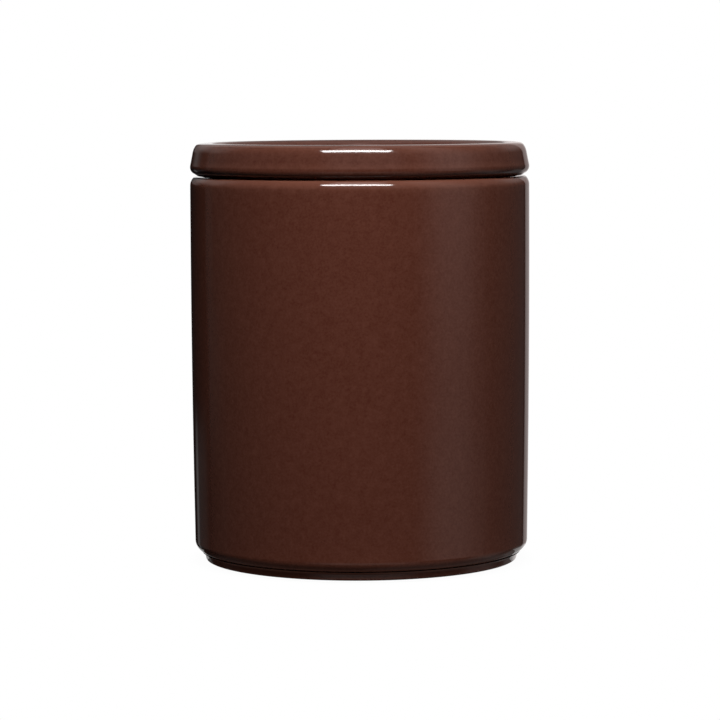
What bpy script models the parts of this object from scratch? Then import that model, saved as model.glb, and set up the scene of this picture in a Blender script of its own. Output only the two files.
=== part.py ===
"""Glazed ceramic storage jar with a lift-off lid and a silicone seal ring on the lid's plug.

Metres, +Z up. The jar stands on Z = 0, and each piece is an outline turned about the Z axis.
An outline is a list of (radius, height) points that runs down the piece's outer side.
"""

import math

import bmesh
import bpy

# Jar body, outside
BODY_DIAMETER = 0.1198  # at the shoulder
JAR_HEIGHT = 0.1360  # from the table to the rim
BASE_TAPER = 0.0008  # the wall's radius is this much less at the base
WALL_BULGE = 0.0004  # and this much fuller half way up than a straight wall
SHOULDER_ROUND = 0.0026
BASE_ROUND = 0.0040

# Jar body, inside
WALL_THICKNESS = 0.0050
FLOOR_THICKNESS = 0.0055
FLOOR_FILLET = 0.0080
MOUTH_ROUND = 0.0012

# Foot ring under the jar
FOOT_HEIGHT = 0.0032
FOOT_INSET = 0.0025  # in from the wall, at the foot's top
FOOT_LEAN = 0.0012  # the foot's side draws in by this much on its way down
FOOT_WIDTH = 0.0045
FOOT_ROUND = 0.0010
FOOT_RECESS = 0.0025  # depth of the hollow inside the ring

# Lid, outside
LID_OVERHANG = 0.0001  # the lid's widest line, out from the shoulder
LID_HEIGHT = 0.0115  # from its seat on the rim to its crest
LID_TAPER = 0.0014  # the side draws in by this much on its way up
LID_LOWER_ROUND = 0.0027
LID_UPPER_ROUND = 0.0018
CREST_WIDTH = 0.0050
RECESS_ROUND = 0.0018  # inner edge of the crest
RECESS_DEPTH = 0.0055
RECESS_FILLET = 0.0030
LID_THICKNESS = 0.0070  # between the recess and the underside
SEAT_GAP = 0.0003  # between the rim and the lid's seat

# Plug under the lid
PLUG_CLEARANCE = 0.0030  # between the plug and the mouth
PLUG_DEPTH = 0.0135
PLUG_THICKNESS = 0.0060
PLUG_ROUND = 0.0012
PLUG_FILLET = 0.0020
GROOVE_START = 0.0020  # below the seat
GROOVE_HEIGHT = 0.0095
GROOVE_DEPTH = 0.0015

# Seal ring in the plug's groove, in its squeezed shape
SEAL_GAP = 0.0003  # to the groove and to the mouth
SEAL_THICKNESS = 0.0015
FIN_COUNT = 3
FIN_ROOT = 0.0013
FIN_TIP = 0.0007
FIN_RISE = 0.0006  # the tips are bent up by this much

# Sizes that follow from those above
BODY_RADIUS = BODY_DIAMETER / 2
BASE_TOP = FOOT_HEIGHT + BASE_ROUND
SHOULDER_BASE = JAR_HEIGHT - SHOULDER_ROUND
FLOOR_TOP = FOOT_RECESS + FLOOR_THICKNESS
LID_SEAT = JAR_HEIGHT + SEAT_GAP

# Mesh counts
SEGMENTS = 64  # round each piece
WALL_STEPS = 4  # up each wall
ROUND_STEPS = 4  # along an edge's rounding
FLOOR_STEPS = 5
SHARP_ANGLE = 35  # degrees between faces that are shaded apart
MERGE_DISTANCE = 1e-6

# Colours, in linear values
GLAZE_COLOUR = (0.085, 0.026, 0.017, 1.0)
GLAZE_ROUGHNESS = 0.08
SILICONE_COLOUR = (0.62, 0.61, 0.58, 1.0)
SILICONE_ROUGHNESS = 0.45


def clear_scene():
    """Removes every object that the file starts with."""
    for old in list(bpy.data.objects):
        bpy.data.objects.remove(old, do_unlink=True)


def plain_material(name, colour, roughness):
    """A dielectric surface of one colour."""
    material = bpy.data.materials.new(name)
    material.use_nodes = True
    shader = material.node_tree.nodes["Principled BSDF"]
    shader.inputs["Base Color"].default_value = colour
    shader.inputs["Roughness"].default_value = roughness
    shader.inputs["Metallic"].default_value = 0.0
    material.diffuse_color = colour
    return material


def glaze_material(name):
    """Glossy chocolate-brown glaze."""
    return plain_material(name, GLAZE_COLOUR, GLAZE_ROUGHNESS)


def silicone_material(name):
    """Milky white food-grade silicone."""
    return plain_material(name, SILICONE_COLOUR, SILICONE_ROUGHNESS)


def arc(radius, height, size, start, end, steps=ROUND_STEPS):
    """Points round a centre, from one angle to another in degrees above the outward direction."""
    angles = [math.radians(start + (end - start) * i / steps) for i in range(steps + 1)]
    return [(radius + size * math.cos(a), height + size * math.sin(a)) for a in angles]


def wall_radius(height):
    """Outer radius of the jar's wall, tapered to the base and slightly full half way up."""
    share = (height - BASE_TOP) / (SHOULDER_BASE - BASE_TOP)
    return BODY_RADIUS - BASE_TAPER * (1 - share) + 4 * WALL_BULGE * share * (1 - share)


def bore_radius(height):
    """Inner radius of the jar at a height above its floor fillet."""
    return wall_radius(height) - WALL_THICKNESS


def wall(radius_at, start, end):
    """Points up or down a wall, between two heights."""
    heights = [start + (end - start) * i / WALL_STEPS for i in range(1, WALL_STEPS)]
    return [(radius_at(height), height) for height in heights]


def foot_outline():
    """The foot ring, from under the base's rounding to the middle of its hollow."""
    base_centre = wall_radius(BASE_TOP) - BASE_ROUND
    top_radius = wall_radius(BASE_TOP) - FOOT_INSET
    outer_radius = top_radius - FOOT_LEAN
    inner_radius = outer_radius - FOOT_WIDTH
    reach = max(0, (top_radius - base_centre) / BASE_ROUND)
    lean = math.degrees(math.atan2(FOOT_LEAN, FOOT_HEIGHT))
    return [
        *arc(base_centre, BASE_TOP, BASE_ROUND, 0, -math.degrees(math.acos(reach))),
        *arc(outer_radius - FOOT_ROUND, FOOT_ROUND, FOOT_ROUND, -lean, -90),
        *arc(inner_radius + FOOT_ROUND, FOOT_ROUND, FOOT_ROUND, -90, -180),
        (inner_radius, FOOT_RECESS),
        (0, FOOT_RECESS),
    ]


def jar_outline():
    """The jar, from the middle of its floor, over the rim, to the middle of its underside."""
    fillet_top = FLOOR_TOP + FLOOR_FILLET
    mouth_base = JAR_HEIGHT - MOUTH_ROUND
    return [
        (0, FLOOR_TOP),
        *arc(bore_radius(fillet_top) - FLOOR_FILLET, fillet_top, FLOOR_FILLET, -90, 0, FLOOR_STEPS),
        *wall(bore_radius, fillet_top, mouth_base),
        *arc(bore_radius(mouth_base) + MOUTH_ROUND, mouth_base, MOUTH_ROUND, 180, 90),
        *arc(BODY_RADIUS - SHOULDER_ROUND, SHOULDER_BASE, SHOULDER_ROUND, 90, 0),
        *wall(wall_radius, SHOULDER_BASE, BASE_TOP),
        *foot_outline(),
    ]


def side_lean(inward, rise, lower_round, upper_round):
    """Angle in degrees at which a straight side touches a lower and an upper rounding."""
    centres_inward = inward + upper_round - lower_round
    between = math.hypot(centres_inward, rise)
    turn = math.asin((lower_round - upper_round) / between)
    return math.degrees(turn + math.atan2(centres_inward, rise))


def plug_radius():
    """Outer radius of the lid's plug."""
    return bore_radius(JAR_HEIGHT - MOUTH_ROUND) - PLUG_CLEARANCE


def plug_outline():
    """The plug below the lid's seat, from its outer side to the middle of the lid's underside."""
    outer = plug_radius()
    inner = outer - PLUG_THICKNESS
    groove = outer - GROOVE_DEPTH
    groove_end = GROOVE_START + GROOVE_HEIGHT
    tip = PLUG_ROUND - PLUG_DEPTH
    underside = LID_HEIGHT - RECESS_DEPTH - LID_THICKNESS
    return [
        (outer, 0),
        (outer, -GROOVE_START),
        (groove, -GROOVE_START),
        (groove, -groove_end),
        (outer, -groove_end),
        *arc(outer - PLUG_ROUND, tip, PLUG_ROUND, 0, -90),
        *arc(inner + PLUG_ROUND, tip, PLUG_ROUND, -90, -180),
        *arc(inner - PLUG_FILLET, underside - PLUG_FILLET, PLUG_FILLET, 0, 90),
        (0, underside),
    ]


def lid_outline():
    """The lid above its own seat at height 0, from the middle of its recess to its underside."""
    widest = BODY_RADIUS + LID_OVERHANG
    upper_centre = widest - LID_TAPER - LID_UPPER_ROUND
    recess = upper_centre - CREST_WIDTH - RECESS_ROUND
    recess_floor = LID_HEIGHT - RECESS_DEPTH
    rise = LID_HEIGHT - LID_UPPER_ROUND - LID_LOWER_ROUND
    lean = side_lean(LID_TAPER, rise, LID_LOWER_ROUND, LID_UPPER_ROUND)
    return [
        (0, recess_floor),
        *arc(recess - RECESS_FILLET, recess_floor + RECESS_FILLET, RECESS_FILLET, -90, 0),
        *arc(recess + RECESS_ROUND, LID_HEIGHT - RECESS_ROUND, RECESS_ROUND, 180, 90),
        *arc(upper_centre, LID_HEIGHT - LID_UPPER_ROUND, LID_UPPER_ROUND, 90, lean),
        *arc(widest - LID_LOWER_ROUND, LID_LOWER_ROUND, LID_LOWER_ROUND, lean, -90),
        *plug_outline(),
    ]


def seal_outline():
    """The seal ring below the lid's seat: a band with fins that reach to the jar's mouth."""
    inner = plug_radius() - GROOVE_DEPTH + SEAL_GAP
    outer = inner + SEAL_THICKNESS
    top = -GROOVE_START - SEAL_GAP
    bottom = SEAL_GAP - GROOVE_START - GROOVE_HEIGHT
    points = [(inner, top), (outer, top)]
    for i in range(FIN_COUNT):
        root = top + (bottom - top) * (i + 0.5) / FIN_COUNT
        reach = bore_radius(LID_SEAT + root) - SEAL_GAP
        points += [
            (outer, root + FIN_ROOT / 2),
            (reach, root + FIN_RISE + FIN_TIP / 2),
            (reach, root + FIN_RISE - FIN_TIP / 2),
            (outer, root - FIN_ROOT / 2),
        ]
    return [*points, (outer, bottom), (inner, bottom)]


def turned(name, outline, material, closed=False):
    """An object made by turning an outline about the Z axis."""
    shape = bmesh.new()
    points = [shape.verts.new((radius, 0, height)) for radius, height in outline]
    edges = [shape.edges.new(pair) for pair in zip(points, points[1:])]
    if closed:
        edges.append(shape.edges.new((points[-1], points[0])))
    bmesh.ops.spin(
        shape, geom=points + edges, axis=(0, 0, 1), angle=math.tau, steps=SEGMENTS, use_merge=True
    )
    bmesh.ops.remove_doubles(shape, verts=shape.verts, dist=MERGE_DISTANCE)
    bmesh.ops.recalc_face_normals(shape, faces=shape.faces)
    mesh = bpy.data.meshes.new(name)
    shape.to_mesh(mesh)
    shape.free()
    mesh.materials.append(material)
    mesh.shade_smooth()
    mesh.set_sharp_from_angle(angle=math.radians(SHARP_ANGLE))
    piece = bpy.data.objects.new(name, mesh)
    bpy.context.scene.collection.objects.link(piece)
    return piece


def jar_body():
    """The jar with its foot ring, standing on the origin."""
    return turned("jar_body", jar_outline(), glaze_material("jar_glaze"))


def lid():
    """The lid, with its origin in the middle of its seat."""
    return turned("lid", lid_outline(), glaze_material("lid_glaze"))


def lid_seal_ring():
    """The seal ring, with its origin where the lid has its own."""
    return turned("lid_seal_ring", seal_outline(), silicone_material("seal_silicone"), closed=True)


def lid_axis():
    """The empty on which the lid and its seal lift off and turn, at the lid's seat."""
    axis = bpy.data.objects.new("lid_axis", None)
    axis.location = (0, 0, LID_SEAT)
    bpy.context.scene.collection.objects.link(axis)
    return axis


def build():
    """Makes the pieces and puts the lid and its seal on their axis."""
    clear_scene()
    jar_body()
    axis = lid_axis()
    lid().parent = axis
    lid_seal_ring().parent = axis


build()
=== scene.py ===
"""Looks of the glazed ceramic storage jar: glazed body and lid, silicone seal, floor, light and camera."""

import math

import bpy
from mathutils import Matrix, Vector


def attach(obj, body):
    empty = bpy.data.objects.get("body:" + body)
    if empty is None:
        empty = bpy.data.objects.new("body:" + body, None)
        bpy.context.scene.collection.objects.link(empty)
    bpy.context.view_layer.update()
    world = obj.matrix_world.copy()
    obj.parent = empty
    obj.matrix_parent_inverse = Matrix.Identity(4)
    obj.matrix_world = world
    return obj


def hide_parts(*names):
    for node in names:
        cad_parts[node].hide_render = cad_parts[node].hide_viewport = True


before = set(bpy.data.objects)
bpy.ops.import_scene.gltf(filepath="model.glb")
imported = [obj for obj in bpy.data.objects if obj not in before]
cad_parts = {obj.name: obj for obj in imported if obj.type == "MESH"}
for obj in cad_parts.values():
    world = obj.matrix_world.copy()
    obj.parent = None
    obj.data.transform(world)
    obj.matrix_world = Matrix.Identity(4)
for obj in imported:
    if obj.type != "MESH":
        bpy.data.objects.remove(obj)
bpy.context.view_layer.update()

MM = 0.001

# Wall and bore of the jar, in millimetres like every size down to the meshes
BODY_RADIUS = 59.87
JAR_HEIGHT = 136.0
WALL_THICKNESS = 5.0
WALL_TOP = 133.4
WALL_BULGE = 0.3
BASE_TAPER = 0.75
BASE_ROUND = 4.2
WALL_ROUND = 400.0
WALL_CORNERS = 6
WALL_ENDS = (126.0, 12.0)
BORE_ENDS = (24.0, 128.0)
FLOOR_TOP = 8.0
FLOOR_FILLET = 8.0

# Rim, and the corners of the shoulder from it down: distance in from the wall, height and rounding
RIM_DROP = 0.05
MOUTH_ROUND = 1.2
SHOULDER_START = 133.9
SHOULDER = [
    (1.243, JAR_HEIGHT - RIM_DROP, 1.28),
    (0.658, 135.082, 7.8),
    (0, 133.89, 3.88),
]

# Foot ring, and the rounding of the wall above it
BASE_CORNER = 4.6
BASE_CORNER_ROUND = 4.0
COVE = 1.1
FOOT_HEIGHT = 3.2
FOOT_INSET = 3.2
FOOT_LEAN = 0.5
FOOT_WIDTH = 2.4
FOOT_ROUND = 0.85
FOOT_BEVEL = 0.31
FOOT_BEVEL_WIDTH = 1.8
FOOT_BEVEL_ROUND = 2.0
FOOT_INNER_ROUND = 0.8
FOOT_INNER_LEAN = 0.6
FOOT_RECESS = 2.5
FOOT_RECESS_ROUND = 1.4

# Lid, and the corners of its crest and side outwards and down: radius, height over the crest and rounding
LID_SEAT = 136.3
LID_RADIUS = 59.85
LID_HEIGHT = 11.5
LID_THICKNESS = 7.0
RECESS_RADIUS = 49.6
RECESS_DEPTH = 5.5
RECESS_ROUND = 1.2
LID_SIDE = [
    (49.65, -0.48, 4.1),
    (54.9, 0.085, 9.0),
    (LID_RADIUS - 2.38, -0.38, 1.9),
    (LID_RADIUS - 1.2, -2.04, 6.0),
    (LID_RADIUS, -8.13, 3.4),
    (LID_RADIUS, -9.97, 2.55),
]
SEAT_INSET = 2.54
SEAT_ROUND = 0.5

# Plug, the groove in it and the seal ring in the groove
PLUG_RADIUS = 51.89
PLUG_DEPTH = 13.5
PLUG_THICKNESS = 6.0
PLUG_ROOT_ROUND = 0.6
PLUG_END_ROUND = 1.2
PLUG_FILLET = 2.0
GROOVE_START = 2.0
GROOVE_HEIGHT = 9.5
GROOVE_DEPTH = 1.5
GROOVE_LIP_ROUND = 0.3
GROOVE_ROUND = 0.2
SEAL_GAP = 0.3
SEAL_THICKNESS = 1.5
SEAL_REACH = 54.55
SEAL_ROUND = 0.25
FIN_COUNT = 3
FIN_ROOT = 1.3
FIN_TIP = 0.7
FIN_RISE = 0.6
FIN_ROUND = 0.3

# Meshes: faces round the axis, degrees in a step of an arc, length of a step on a line, width of the
# tint that an edge gives, least weight that counts in it, and the radius that counts as the axis
SEGMENTS = 192
ARC_STEP = 7.0
LINE_STEP = 3.0
EDGE_REACH = 1.25
LEAST_WEIGHT = 0.01
AXIS_RADIUS = 1e-6

# Colours of the glaze, the bare clay and the silicone
GLAZE_DARK = (0.0717, 0.0192, 0.0105, 1)
GLAZE_LIGHT = (0.0989, 0.0326, 0.0207, 1)
# A light brown: thinner glaze on edges, also used as painted light on the upper edges and in the cove over
# the foot
GLAZE_THIN_AND_LIT = (0.150, 0.055, 0.035, 1)
GLAZE_THICK = (0.040, 0.012, 0.009, 1)
CLAY_DARK = (0.46, 0.36, 0.28, 1)
CLAY_LIGHT = (0.62, 0.52, 0.42, 1)
SILICONE_DARK = (0.58, 0.57, 0.54, 1)
SILICONE_LIGHT = (0.67, 0.66, 0.63, 1)
DUST = (0.50, 0.48, 0.45, 1)

# Noises: scale in a metre, detail and roughness
FINE_NOISE = (1250.0, 3.0, 0.7)
GRAIN_NOISE = (430.0, 2.0, 0.6)
CLOUD_NOISE = (34.0, 3.0, 0.55)
SPECK_NOISE = (90.0, 1.0, 0.5)
DIP_NOISE = (160.0, 2.0, 0.5)
CLAY_NOISE = (900.0, 3.0, 0.7)
CLAY_GRAIN_NOISE = (2500.0, 2.0, 0.5)
GLOSS_NOISE = (240.0, 2.0, 0.5)
PEEL_NOISE = (300.0, 1.5, 0.4)
SILICONE_NOISE = (120.0, 3.0, 0.55)
DUST_NOISE = (1900.0, 3.0, 0.75)
MOULD_NOISE = (1400.0, 3.0, 0.6)

# Glaze: shares of the noises in its mottle, and the specks' size and strength
FINE_SHARE = 0.62
GRAIN_SHARE = 0.25
CLOUD_SHARE = 0.13
MOTTLE_RANGE = (0.36, 0.64)
SPECK_SCALE = 620.0
SPECK_EDGE = (0.10, 0.20)
SPECK_PATCHES = (0.55, 0.64)
SPECK_SHARE = 0.35

# Glaze: lighter edges (thinner glaze, and painted light on the upper edges, less on the low ones in shade
# and on the inner ones), pooling in hollows and painted light in the cove over the foot, from the edge
# value, and in metres from the height and the radius; and the lid's colour as a share of the jar's
EDGE_GRAIN = 0.25
EDGE_RANGE = (0.08, 0.62)
EDGE_SHARE = 0.60
LID_LOW_BAND = (0.13625, 0.1400, 0.0010)
LID_LOW_SHARE = 0.9
BASE_FADE = (0.007, 0.012, 0.2, 1.0)
CREST_FADE = (0.0530, 0.0555, 0.25, 1.0)
POOL_RANGE = (-0.9, -0.1)
POOL_SHARE = 0.25
# Painted light: a band of height over the foot, lightened for the light that the floor sends back
PAINTED_COVE_LIGHT_BAND = (0.0024, 0.0043, 0.0008)
PAINTED_COVE_LIGHT_SHARE = 0.6
DIP_WAVE = 0.0002
BARE_RANGE = (0.00004, 0.00010)
LID_TONE = 0.88

# Gloss and grain of the surfaces
GLOSS_RANGE = (0.3, 0.7, 0.050, 0.085)
CLAY_ROUGHNESS = 0.7
CLAY_GRAIN = 6.0
GLAZE_IOR = 1.5
PEEL_DEPTH = 0.000006
DUST_RANGE = (0.56, 0.70)
DUST_SHARE = 0.25
SILICONE_ROUGHNESS = (0.40, 0.58)
SILICONE_IOR = 1.41
SILICONE_GLOW = 0.25
SILICONE_GLOW_COLOUR = (1.0, 1.0, 0.9)
SILICONE_GLOW_DEPTH = 0.001
MOULD_DEPTH = 0.00001

# Soft cards of the studio that the glaze mirrors: name, tint, brightness, azimuth from, to and softness,
# elevation from, to and softness, in degrees. Azimuth 0 is the camera's side, and grows to the right.
WHITE = (1.0, 1.0, 1.0)
ROSE = (1.10, 0.96, 0.94)
WARM = (1.25, 0.90, 0.85)
CARDS = [
    ("ceiling", WHITE, 0.085, -220, 220, 10, 12, 120, 10),
    ("ceiling_front", WHITE, 0.18, -22, 30, 22, 13, 60, 10),
    ("overhead", WHITE, 0.40, -220, 220, 10, 68, 130, 36),
    ("key_glow", WARM, 1.00, -28, 25, 12, 54, 66, 6),
    ("key_brow", WHITE, 1.20, -28, 25, 12, 55, 61, 5),
    ("key_crown", WHITE, 0.35, -28, 25, 12, 60, 78, 8),
    ("front_haze", WHITE, 0.030, -110, 62, 24, -16, 14, 8),
    ("key_skirt", WHITE, 0.80, -28, 25, 12, 32, 42, 6),
    ("key_halo", WARM, 0.60, -30, 27, 12, 60, 130, 14),
    ("back_right", WHITE, 0.20, 126, 181, 20, 14, 120, 20),
    ("back_left", WHITE, 0.20, -181, -110, 20, 14, 120, 20),
    ("right_card", ROSE, 0.24, 48, 84, 30, -17, 70, 8),
    ("right_card_mid", ROSE, 0.13, 48, 84, 30, -4, 70, 5),
    ("right_card_top", ROSE, 0.07, 48, 84, 30, 13, 60, 8),
    ("right_card_low", ROSE, 0.05, 44, 96, 20, -14, -7, 2),
    ("right_wall", WHITE, 0.045, 88, 148, 8, -40, 60, 16),
    ("right_rim", ROSE, 0.38, 152, 181, 2.4, -14, 20, 8),
    ("backdrop_right", WHITE, 0.40, 169, 181, 8, -14, 9, 10),
    ("backdrop_left", WHITE, 1.0, -181, -173.2, 2.4, -14, 9, 10),
    ("left_edge", WHITE, 0.030, -128.5, -118, 3, -4, 60, 3),
    ("left_edge_low", WHITE, 0.024, -125.3, -111, 3, -7.2, -4, 1.4),
    ("left_wall", WHITE, 0.015, -126, -104, 8, -40, 60, 16),
    ("left_strip_top", WHITE, 0.12, -167, -142, 15, 3, 60, 3),
    ("left_strip_low", WHITE, 0.12, -157, -150.5, 2.6, -14, -6.6, 1.6),
    ("left_strip_tail", WHITE, 0.036, -154, -131, 12, -14, -6.6, 1.6),
    ("floor_glow", WHITE, 0.022, -220, 220, 10, -120, -30, 16),
    ("floor_front", WHITE, 0.22, -34, 34, 30, -38, -18, 8),
    ("floor_right", WHITE, 0.06, 30, 150, 30, -120, -26, 16),
    ("floor_right_back", ROSE, 0.12, 84, 116, 16, -34, -13, 6),
    ("back_floor_left", WHITE, 0.16, -181, -168, 6, -23, -13, 6),
    ("foot_right", WHITE, 0.10, 133, 181, 6, -30, -11.5, 4),
]
STUDIO_DARK = 0.008
AMBIENT = 0.006
PAPER = (1, 1, 1, 1)

# What a light reaches: only the mirror images in the glaze, or only the matt colours
MIRROR = True
MATT = False

# Lights round the jar, in metres and watts: name, place, target, width, height, power and reach
SHOULDER_FRONT = (0, -0.06, 0.135)
JAR_UPPER = (0, 0, 0.1)
JAR_MIDDLE = (0, 0, 0.08)
STUDIO_LIGHTS = [
    ("key", (-0.036, -0.86, 1.045), SHOULDER_FRONT, 0.89, 0.275, 20.2, MIRROR),
    ("key_wash", (-0.010, -0.45, 0.58), SHOULDER_FRONT, 0.10, 0.155, 4.45, MATT),
    ("front_right", (0.45, -0.55, 0.60), JAR_UPPER, 0.4, 0.3, 1.15, MATT),
    ("back_fill", (0.25, 0.8, 1.0), JAR_MIDDLE, 0.5, 0.5, 3.0, MATT),
    ("right_fill", (0.9, 0.35, 0.45), JAR_MIDDLE, 0.5, 0.5, 0.2, MATT),
]

# Lights that face up from the floor, for the light that it sends back: name, shape, x, y, width, depth,
# power and reach
FLOOR_LIGHT_LEVEL = -0.001
FLOOR_LIGHT_TARGET = 0.1
FLOOR_LIGHTS = [
    ("floor_bounce", "DISK", 0.004, 0, 0.14, 0.14, 0.011, MATT),
    ("floor_patch_right", "RECTANGLE", 0.0628, 0.007, 0.0145, 0.034, 0.0008, MIRROR),
    ("floor_patch_left", "RECTANGLE", -0.060, 0.014, 0.011, 0.032, 0.0005, MIRROR),
]

# Floor, in metres: half its side, its level, and the faint shade where the jar stands
FLOOR_REACH = 8.0
FLOOR_LEVEL = -0.00005
SHADE_SAMPLES = 8
SHADE_REACH = 0.008
SHADE_RANGE = (0.2, 0.9, 0.975, 1.0)

# Camera: lens and sensor in millimetres, place in metres, tilt down from level and roll in degrees
CAMERA_LENS = 154.04
CAMERA_SENSOR = 36.0
CAMERA_SHIFT = -0.0007
CAMERA_PLACE = (0, -1.090152, 0.166813)
CAMERA_TILT = 5.043
CAMERA_ROLL = -0.26
CAMERA_CLIP = (0.05, 50.0)


def outline_end(corners, last):
    """The sample at the first or the last corner of an open outline."""
    one, two = corners[-2:] if last else corners[:2]
    radius, height, _ = two if last else one
    normal = math.atan2(two[0] - one[0], one[1] - two[1])
    return (radius, height, normal, 0.0)


def corner_arc(before, corner, after):
    """Samples of the arc that rounds a corner and is tangent to the lines on both sides of it."""
    radius, height, rounding = corner
    in_r, in_z = radius - before[0], height - before[1]
    out_r, out_z = after[0] - radius, after[1] - height
    in_len, out_len = math.hypot(in_r, in_z), math.hypot(out_r, out_z)
    in_r, in_z, out_r, out_z = in_r / in_len, in_z / in_len, out_r / out_len, out_z / out_len
    turn = math.atan2(in_r * out_z - in_z * out_r, in_r * out_r + in_z * out_z)
    tangent = rounding * math.tan(abs(turn) / 2)
    side = 1 if turn > 0 else -1
    start_r, start_z = radius - in_r * tangent, height - in_z * tangent
    centre_r, centre_z = start_r - in_z * rounding * side, start_z + in_r * rounding * side
    steps = max(2, math.ceil(abs(math.degrees(turn)) / ARC_STEP))
    first = math.atan2(start_z - centre_z, start_r - centre_r)
    samples = []
    for k in range(steps + 1):
        angle = first + turn * k / steps
        sample_r = centre_r + rounding * math.cos(angle)
        sample_z = centre_z + rounding * math.sin(angle)
        normal = angle if side < 0 else angle + math.pi
        samples.append((sample_r, sample_z, normal, -side / rounding))
    return samples


def rounded(corners, closed=False):
    """Samples of an outline whose corners (radius, height, rounding) are rounded by tangent arcs.

    A sample is (radius, height, normal angle, curvature), and the solid lies right of the outline.
    """
    samples = []
    last = len(corners) - 1
    for i, corner in enumerate(corners):
        if closed or 0 < i < last:
            samples += corner_arc(corners[i - 1], corner, corners[(i + 1) % len(corners)])
        else:
            samples.append(outline_end(corners, i == last))
    return samples


def line_shares(length):
    """Shares of a line's length that get a sample: even steps, and two near each end of a long line."""
    steps = math.ceil(length / LINE_STEP) if length > 2 * EDGE_REACH else 1
    shares = {k / steps for k in range(1, steps)}
    if length > 4 * EDGE_REACH:
        for share in (EDGE_REACH / length, 2 * EDGE_REACH / length):
            shares |= {share, 1 - share}
    return sorted(shares)


def filled(samples, closed=False):
    """The samples with more of them along each straight stretch."""
    result = []
    followers = samples[1:] + samples[:1] if closed else samples[1:]
    for one, two in zip(samples, followers):
        result.append(one)
        start = one[2] + math.tau * round((two[2] - one[2]) / math.tau)
        for share in line_shares(math.hypot(two[0] - one[0], two[1] - one[1])):
            radius = one[0] + (two[0] - one[0]) * share
            height = one[1] + (two[1] - one[1]) * share
            result.append((radius, height, start + (two[2] - start) * share, 0.0))
    if not closed:
        result.append(samples[-1])
    return result


def edge_values(samples):
    """How far each sample lies on an outer edge, or below 0 in a hollow, from the curvature round it."""
    places = [0.0]
    for one, two in zip(samples, samples[1:]):
        places.append(places[-1] + math.hypot(two[0] - one[0], two[1] - one[1]))
    values = []
    for here in places:
        total = weight = 0.0
        for i, place in enumerate(places):
            near = math.exp(-(((place - here) / EDGE_REACH) ** 2) / 2)
            if near < LEAST_WEIGHT:
                continue
            low = places[max(0, i - 1)]
            high = places[min(len(places) - 1, i + 1)]
            share = near * (high - low) / 2
            total += share * samples[i][3]
            weight += share
        values.append(total / weight if weight else 0.0)
    return values


def placed(name, data):
    """A new object in the scene."""
    made = bpy.data.objects.new(name, data)
    bpy.context.scene.collection.objects.link(made)
    return made


def ring_faces(one, two):
    """Faces between two neighbouring rings of vertices, of which one may be a point on the axis."""
    faces = []
    for j in range(SEGMENTS):
        k = (j + 1) % SEGMENTS
        if len(one) == 1:
            faces.append((one[0], two[j], two[k]))
        elif len(two) == 1:
            faces.append((one[j], two[0], one[k]))
        else:
            faces.append((one[j], two[j], two[k], one[k]))
    return faces


def turned(name, samples, closed=False, tone=1.0):
    """A mesh object made by turning an outline about the Z axis, with exact normals."""
    samples = filled(samples, closed)
    verts, normals, values, rings = [], [], [], []
    for (radius, height, angle, _), value in zip(samples, edge_values(samples)):
        ring = []
        for j in range(1 if radius < AXIS_RADIUS else SEGMENTS):
            turn = math.tau * j / SEGMENTS
            x, y = math.cos(turn), math.sin(turn)
            ring.append(len(verts))
            verts.append((radius * x * MM, radius * y * MM, height * MM))
            normals.append((math.cos(angle) * x, math.cos(angle) * y, math.sin(angle)))
            values.append(value)
        rings.append(ring)
    followers = rings[1:] + rings[:1] if closed else rings[1:]
    faces = []
    for one, two in zip(rings, followers):
        faces += ring_faces(one, two)
    mesh = bpy.data.meshes.new(name)
    mesh.from_pydata(verts, [], faces)
    mesh.shade_smooth()
    mesh.normals_split_custom_set_from_vertices(normals)
    for attribute_name, given in (("edge", values), ("tone", [tone] * len(verts))):
        attribute = mesh.attributes.new(attribute_name, "FLOAT", "POINT")
        attribute.data.foreach_set("value", given)
    return placed(name, mesh)


def wall_radius(height):
    """Outer radius of the jar's wall, tapered to the base and slightly full half way up."""
    base = FOOT_HEIGHT + BASE_ROUND
    share = (height - base) / (WALL_TOP - base)
    return BODY_RADIUS - BASE_TAPER * (1 - share) + 4 * WALL_BULGE * share * (1 - share)


def wall_corners(inset, start, end):
    """Corners up or down a wall between two heights, gently rounded so that its fullness is smooth."""
    heights = [start + (end - start) * i / WALL_CORNERS for i in range(1, WALL_CORNERS)]
    return [(wall_radius(height) - inset, height, WALL_ROUND) for height in heights]


def jar_corners():
    """The jar, from the middle of its floor, over the rim, to the middle of its underside."""
    bore_top = wall_radius(JAR_HEIGHT) - WALL_THICKNESS
    shoulder = wall_radius(SHOULDER_START)
    foot_top = wall_radius(FOOT_HEIGHT) - FOOT_INSET
    foot_outer = foot_top - FOOT_LEAN
    foot_inner = foot_outer - FOOT_BEVEL_WIDTH - FOOT_WIDTH
    return [
        (0, FLOOR_TOP, 0),
        (wall_radius(FLOOR_TOP) - WALL_THICKNESS, FLOOR_TOP, FLOOR_FILLET),
        *wall_corners(WALL_THICKNESS, *BORE_ENDS),
        (bore_top, JAR_HEIGHT - RIM_DROP, MOUTH_ROUND),
        *[(shoulder - inset, height, rounding) for inset, height, rounding in SHOULDER],
        *wall_corners(0, *WALL_ENDS),
        (wall_radius(BASE_CORNER), FOOT_HEIGHT, BASE_CORNER_ROUND),
        (foot_top, FOOT_HEIGHT, COVE),
        (foot_outer, FOOT_BEVEL, FOOT_ROUND),
        (foot_outer - FOOT_BEVEL_WIDTH, 0, FOOT_BEVEL_ROUND),
        (foot_inner, 0, FOOT_INNER_ROUND),
        (foot_inner - FOOT_INNER_LEAN, FOOT_RECESS, FOOT_RECESS_ROUND),
        (0, FOOT_RECESS, 0),
    ]


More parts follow.
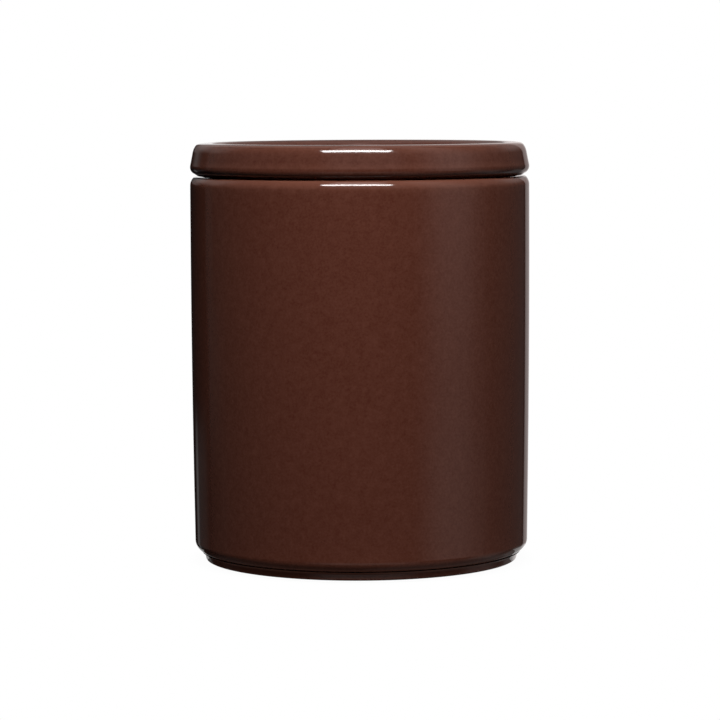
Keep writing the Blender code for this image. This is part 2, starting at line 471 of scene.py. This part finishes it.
def lid_corners():
    """The lid, from the middle of its recess to the middle of its underside."""
    top = LID_SEAT + LID_HEIGHT
    recess_floor = top - RECESS_DEPTH
    underside = recess_floor - LID_THICKNESS
    bottom = LID_SEAT - PLUG_DEPTH
    groove = PLUG_RADIUS - GROOVE_DEPTH
    groove_top = LID_SEAT - GROOVE_START
    groove_bottom = groove_top - GROOVE_HEIGHT
    inner = PLUG_RADIUS - PLUG_THICKNESS
    return [
        (0, recess_floor, 0),
        (RECESS_RADIUS, recess_floor, RECESS_ROUND),
        *[(radius, top + rise, rounding) for radius, rise, rounding in LID_SIDE],
        (LID_RADIUS - SEAT_INSET, LID_SEAT, SEAT_ROUND),
        (PLUG_RADIUS, LID_SEAT, PLUG_ROOT_ROUND),
        (PLUG_RADIUS, groove_top, GROOVE_LIP_ROUND),
        (groove, groove_top, GROOVE_ROUND),
        (groove, groove_bottom, GROOVE_ROUND),
        (PLUG_RADIUS, groove_bottom, GROOVE_LIP_ROUND),
        (PLUG_RADIUS, bottom, PLUG_END_ROUND),
        (inner, bottom, PLUG_END_ROUND),
        (inner, underside, PLUG_FILLET),
        (0, underside, 0),
    ]


def seal_corners():
    """The seal ring: a band with upward fins."""
    inner = PLUG_RADIUS - GROOVE_DEPTH + SEAL_GAP
    outer = inner + SEAL_THICKNESS
    top = LID_SEAT - GROOVE_START - SEAL_GAP
    bottom = LID_SEAT - GROOVE_START - GROOVE_HEIGHT + SEAL_GAP
    corners = [(inner, top, SEAL_ROUND), (outer, top, SEAL_ROUND)]
    for i in range(FIN_COUNT):
        root = top + (bottom - top) * (i + 0.5) / FIN_COUNT
        corners += [
            (outer, root + FIN_ROOT / 2, SEAL_ROUND),
            (SEAL_REACH, root + FIN_RISE + FIN_TIP / 2, FIN_ROUND),
            (SEAL_REACH, root + FIN_RISE - FIN_TIP / 2, FIN_ROUND),
            (outer, root - FIN_ROOT / 2, SEAL_ROUND),
        ]
    return [*corners, (outer, bottom, SEAL_ROUND), (inner, bottom, SEAL_ROUND)]


class Graph:
    """A node tree with short calls for the nodes that the materials and the studio need."""

    def __init__(self, tree):
        self.tree = tree

    def node(self, kind, **values):
        """A new node with some of its properties set."""
        made = self.tree.nodes.new(kind)
        for key, value in values.items():
            setattr(made, key, value)
        return made

    def put(self, socket, value):
        """Links a socket to another, or gives it a value."""
        if isinstance(value, bpy.types.NodeSocket):
            self.tree.links.new(value, socket)
        else:
            socket.default_value = value

    def math(self, operation, *values, clamp=False):
        """The result of a math node."""
        made = self.node("ShaderNodeMath", operation=operation, use_clamp=clamp)
        for socket, value in zip(made.inputs, values):
            self.put(socket, value)
        return made.outputs[0]

    def vector(self, operation, value, other=None, scale=None):
        """The result of a vector node, which is a number for a length."""
        made = self.node("ShaderNodeVectorMath", operation=operation)
        self.put(made.inputs[0], value)
        if other is not None:
            self.put(made.inputs[1], other)
        if scale is not None:
            self.put(made.inputs["Scale"], scale)
        return made.outputs["Value" if operation == "LENGTH" else "Vector"]

    def ramp(self, value, low, high, to_low=0.0, to_high=1.0, smooth=True):
        """A value between two limits, spread over a new range."""
        made = self.node("ShaderNodeMapRange", interpolation_type="SMOOTHSTEP" if smooth else "LINEAR")
        for socket, given in zip(made.inputs, (value, low, high, to_low, to_high)):
            self.put(socket, given)
        return made.outputs[0]

    def band(self, value, start, end, soft):
        """1 where a value lies from start to end, with edges softened over a width."""
        rise = self.ramp(value, start - soft / 2, start + soft / 2)
        fall = self.ramp(value, end - soft / 2, end + soft / 2, 1.0, 0.0)
        return self.math("MULTIPLY", rise, fall)

    def mix(self, share, one, two):
        """One colour, with a share of another."""
        made = self.node("ShaderNodeMix", data_type="RGBA")
        self.put(made.inputs[0], share)
        self.put(made.inputs[6], one)
        self.put(made.inputs[7], two)
        return made.outputs[2]

    def choose(self, share, one, two):
        """One shader, with a share of another."""
        made = self.node("ShaderNodeMixShader")
        for socket, given in zip(made.inputs, (share, one, two)):
            self.put(socket, given)
        return made.outputs[0]

    def background(self, colour, strength=1.0):
        """A shader for light from the studio."""
        made = self.node("ShaderNodeBackground")
        self.put(made.inputs["Color"], colour)
        made.inputs["Strength"].default_value = strength
        return made.outputs[0]

    def noise(self, place, scale, detail, roughness):
        """Soft noise at a place."""
        made = self.node("ShaderNodeTexNoise")
        self.put(made.inputs["Vector"], place)
        made.inputs["Scale"].default_value = scale
        made.inputs["Detail"].default_value = detail
        made.inputs["Roughness"].default_value = roughness
        return made.outputs["Fac"]

    def attribute(self, name):
        """A number that the mesh holds at each vertex."""
        return self.node("ShaderNodeAttribute", attribute_name=name).outputs["Fac"]

    def object_place(self):
        """The place on the object itself."""
        return self.node("ShaderNodeTexCoord").outputs["Object"]

    def bump(self, height, distance):
        """A normal that follows a relief of a depth in metres."""
        made = self.node("ShaderNodeBump")
        self.put(made.inputs["Height"], height)
        made.inputs["Strength"].default_value = 1.0
        made.inputs["Distance"].default_value = distance
        return made.outputs["Normal"]


def new_graph(owner):
    """The empty node tree of a world or a material."""
    owner.use_nodes = True
    for old in list(owner.node_tree.nodes):
        owner.node_tree.nodes.remove(old)
    return Graph(owner.node_tree)


def new_material(name):
    """A material and its graph, with the Principled shader to fill."""
    material = bpy.data.materials.new(name)
    material.use_nodes = True
    graph = Graph(material.node_tree)
    return material, graph, material.node_tree.nodes["Principled BSDF"]


def mottled(graph, place, grain):
    """The glaze's two browns in a fine mottle."""
    fine = graph.math("MULTIPLY", graph.noise(place, *FINE_NOISE), FINE_SHARE)
    coarse = graph.math("MULTIPLY", grain, GRAIN_SHARE)
    cloud = graph.math("MULTIPLY", graph.noise(place, *CLOUD_NOISE), CLOUD_SHARE)
    mottle = graph.math("ADD", graph.math("ADD", fine, coarse), cloud)
    return graph.mix(graph.ramp(mottle, *MOTTLE_RANGE, smooth=False), GLAZE_DARK, GLAZE_LIGHT)


def specked(graph, place, colour):
    """A colour with patches of small dark specks."""
    speck = graph.node("ShaderNodeTexVoronoi", feature="F1", distance="EUCLIDEAN")
    graph.put(speck.inputs["Vector"], place)
    speck.inputs["Scale"].default_value = SPECK_SCALE
    near = graph.ramp(speck.outputs["Distance"], *SPECK_EDGE, 1.0, 0.0)
    chosen = graph.ramp(graph.noise(place, *SPECK_NOISE), *SPECK_PATCHES)
    share = graph.math("MULTIPLY", graph.math("MULTIPLY", near, chosen), SPECK_SHARE)
    return graph.mix(share, colour, GLAZE_THICK)


def thinned_and_lit(graph, place, height, grain, colour):
    """A colour that is lighter on edges, from thinner glaze and from painted light on the upper edges that
    face the light, and darker in hollows, where the glaze pools.

    The low edges of the lid and the jar, which lie in shade, and the inner ones show the lightening less.
    A band of painted light lightens the step over the foot all along, for the light that the floor sends
    back.
    """
    edge = graph.attribute("edge")
    # Lighter edges: partly thinner glaze, partly painted light on the upper edges that face the light; the
    # masks below take it off the low edges in shade and off the inner ones
    ragged = graph.math("ADD", edge, graph.math("MULTIPLY", grain, EDGE_GRAIN))
    thin_and_lit = graph.ramp(ragged, *EDGE_RANGE, 0.0, EDGE_SHARE)
    lid_low = graph.math("MULTIPLY_ADD", graph.band(height, *LID_LOW_BAND), -LID_LOW_SHARE, 1.0)
    thin_and_lit = graph.math("MULTIPLY", thin_and_lit, lid_low)
    thin_and_lit = graph.math("MULTIPLY", thin_and_lit, graph.ramp(height, *BASE_FADE))
    radius = graph.vector("LENGTH", graph.vector("MULTIPLY", place, (1, 1, 0)))
    thin_and_lit = graph.math("MULTIPLY", thin_and_lit, graph.ramp(radius, *CREST_FADE))
    colour = graph.mix(thin_and_lit, colour, GLAZE_THIN_AND_LIT)
    colour = graph.mix(graph.ramp(edge, *POOL_RANGE, POOL_SHARE, 0.0), colour, GLAZE_THICK)
    # Painted light in the cove over the foot, for the light that the floor sends back
    step = graph.math("MULTIPLY", graph.band(height, *PAINTED_COVE_LIGHT_BAND), PAINTED_COVE_LIGHT_SHARE)
    return graph.mix(step, colour, GLAZE_THIN_AND_LIT)


def glaze():
    """Glossy chocolate glaze: fine mottle, lighter edges from thinner glaze and painted light, pooled in
    hollows, painted light in the cove over the foot, bare clay where it stands.
    """
    material, graph, shader = new_material("chocolate_glaze")
    place = graph.object_place()
    split = graph.node("ShaderNodeSeparateXYZ")
    graph.put(split.inputs[0], place)
    height = split.outputs["Z"]
    grain = graph.noise(place, *GRAIN_NOISE)
    colour = specked(graph, place, mottled(graph, place, grain))
    colour = thinned_and_lit(graph, place, height, grain, colour)

    dip_line = graph.math("MULTIPLY", graph.noise(place, *DIP_NOISE), DIP_WAVE)
    bare = graph.ramp(graph.math("SUBTRACT", height, dip_line), *BARE_RANGE, 1.0, 0.0)
    colour = graph.mix(bare, colour, graph.mix(graph.noise(place, *CLAY_NOISE), CLAY_DARK, CLAY_LIGHT))
    graph.put(shader.inputs["Base Color"], graph.vector("SCALE", colour, scale=graph.attribute("tone")))

    gloss = graph.ramp(graph.noise(place, *GLOSS_NOISE), *GLOSS_RANGE)
    gloss = graph.math("ADD", gloss, graph.math("MULTIPLY", bare, CLAY_ROUGHNESS), clamp=True)
    graph.put(shader.inputs["Roughness"], gloss)
    shader.inputs["IOR"].default_value = GLAZE_IOR

    peel = graph.noise(place, *PEEL_NOISE)
    clay_grain = graph.math("MULTIPLY", graph.noise(place, *CLAY_GRAIN_NOISE), bare)
    relief = graph.math("ADD", peel, graph.math("MULTIPLY", clay_grain, CLAY_GRAIN))
    graph.put(shader.inputs["Normal"], graph.bump(relief, PEEL_DEPTH))
    return material


def silicone():
    """Milky silicone with a satin skin, faint moulding grain and a little dust."""
    material, graph, shader = new_material("seal_silicone")
    place = graph.object_place()
    dust = graph.ramp(graph.noise(place, *DUST_NOISE), *DUST_RANGE)
    colour = graph.mix(graph.noise(place, *SILICONE_NOISE), SILICONE_DARK, SILICONE_LIGHT)
    colour = graph.mix(graph.math("MULTIPLY", dust, DUST_SHARE), colour, DUST)
    graph.put(shader.inputs["Base Color"], colour)
    graph.put(shader.inputs["Roughness"], graph.ramp(dust, 0.0, 1.0, *SILICONE_ROUGHNESS))
    shader.inputs["IOR"].default_value = SILICONE_IOR
    shader.inputs["Subsurface Weight"].default_value = SILICONE_GLOW
    shader.inputs["Subsurface Radius"].default_value = SILICONE_GLOW_COLOUR
    shader.inputs["Subsurface Scale"].default_value = SILICONE_GLOW_DEPTH
    relief = graph.noise(place, *MOULD_NOISE)
    graph.put(shader.inputs["Normal"], graph.bump(relief, MOULD_DEPTH))
    return material


def studio():
    """The world: white to the camera, an even dim light to matt colours, and soft cards to the gloss."""
    world = bpy.data.worlds.new("studio")
    bpy.context.scene.world = world
    graph = new_graph(world)
    split = graph.node("ShaderNodeSeparateXYZ")
    graph.put(split.inputs[0], graph.node("ShaderNodeTexCoord").outputs["Generated"])
    back = graph.math("MULTIPLY", split.outputs["Y"], -1.0)
    azimuth = graph.math("DEGREES", graph.math("ARCTAN2", split.outputs["X"], back))
    elevation = graph.math("DEGREES", graph.math("ARCSINE", split.outputs["Z"]))
    total = (STUDIO_DARK, STUDIO_DARK, STUDIO_DARK)
    for _, tint, brightness, left, right, soft, low, high, soft_up in CARDS:
        across = graph.band(azimuth, left, right, soft)
        up = graph.band(elevation, low, high, soft_up)
        share = graph.math("MULTIPLY", graph.math("MULTIPLY", across, up), brightness)
        total = graph.vector("ADD", total, graph.vector("SCALE", tint, scale=share))
    path = graph.node("ShaderNodeLightPath")
    ambient = graph.background(PAPER, AMBIENT)
    light = graph.choose(path.outputs["Is Diffuse Ray"], graph.background(total), ambient)
    seen = graph.choose(path.outputs["Is Camera Ray"], light, graph.background(PAPER))
    graph.put(graph.node("ShaderNodeOutputWorld").inputs["Surface"], seen)


def softbox(name, shape, place, target, width, height, watts, mirrored):
    """An area light that faces its target, unseen by the camera."""
    lamp = bpy.data.lights.new(name, "AREA")
    lamp.shape = shape
    lamp.size = width
    lamp.size_y = height
    lamp.energy = watts
    made = placed(name, lamp)
    made.location = place
    away = [b - a for a, b in zip(target, place)]
    made.rotation_euler = Vector(away).to_track_quat("Z", "Y").to_euler()
    made.visible_camera = False
    made.visible_glossy = mirrored
    made.visible_diffuse = not mirrored


def lights():
    """The soft boxes round the jar and the lights in the floor."""
    for name, place, target, width, height, watts, mirrored in STUDIO_LIGHTS:
        softbox(name, "RECTANGLE", place, target, width, height, watts, mirrored)
    for name, shape, x, y, width, depth, watts, mirrored in FLOOR_LIGHTS:
        place = (x, y, FLOOR_LIGHT_LEVEL)
        softbox(name, shape, place, (x, y, FLOOR_LIGHT_TARGET), width, depth, watts, mirrored)


def pale_floor():
    """A plain white floor with a faint contact shade, seen from above only."""
    signs = ((-1, -1), (1, -1), (1, 1), (-1, 1))
    mesh = bpy.data.meshes.new("floor")
    mesh.from_pydata([(FLOOR_REACH * x, FLOOR_REACH * y, 0) for x, y in signs], [], [(0, 1, 2, 3)])
    floor = placed("floor", mesh)
    material = bpy.data.materials.new("floor_white")
    graph = new_graph(material)
    shade = graph.node("ShaderNodeAmbientOcclusion", samples=SHADE_SAMPLES)
    shade.inputs["Distance"].default_value = SHADE_REACH
    light = graph.node("ShaderNodeEmission")
    light.inputs["Color"].default_value = PAPER
    graph.put(light.inputs["Strength"], graph.ramp(shade.outputs["AO"], *SHADE_RANGE))
    clear = graph.node("ShaderNodeBsdfTransparent").outputs[0]
    from_below = graph.node("ShaderNodeNewGeometry").outputs["Backfacing"]
    seen = graph.choose(from_below, light.outputs[0], clear)
    graph.put(graph.node("ShaderNodeOutputMaterial").inputs["Surface"], seen)
    mesh.materials.append(material)
    floor.location.z = FLOOR_LEVEL
    floor.visible_diffuse = False
    floor.visible_glossy = False
    floor.visible_transmission = False
    floor.visible_shadow = False


def camera():
    """The photograph's camera, a little above the lid and looking slightly down."""
    data = bpy.data.cameras.new("camera")
    data.sensor_width = CAMERA_SENSOR
    data.lens = CAMERA_LENS
    data.shift_x = CAMERA_SHIFT
    data.clip_start, data.clip_end = CAMERA_CLIP
    made = placed("camera", data)
    tilt = Matrix.Rotation(math.radians(90 - CAMERA_TILT), 4, "X")
    roll = Matrix.Rotation(math.radians(CAMERA_ROLL), 4, "Z")
    made.matrix_world = Matrix.Translation(CAMERA_PLACE) @ tilt @ roll
    bpy.context.scene.camera = made


jar = turned("jar_glazed", rounded(jar_corners()))
lid = turned("lid_glazed", rounded(lid_corners()), tone=LID_TONE)
seal = turned("seal_ring", rounded(seal_corners(), closed=True), closed=True)
glazed = glaze()
for piece, body, node, slot, material in (
    (jar, "jar", "jar_body", "glaze", glazed),
    (lid, "lid", "lid", "glaze", glazed),
    (seal, "seal", "lid_seal_ring", "seal_silicone", silicone()),
):
    piece.data.materials.append(material)
    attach(piece, body)
    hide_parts(node)

studio()
lights()
pale_floor()
camera()
bpy.context.scene.view_settings.view_transform = "Standard"
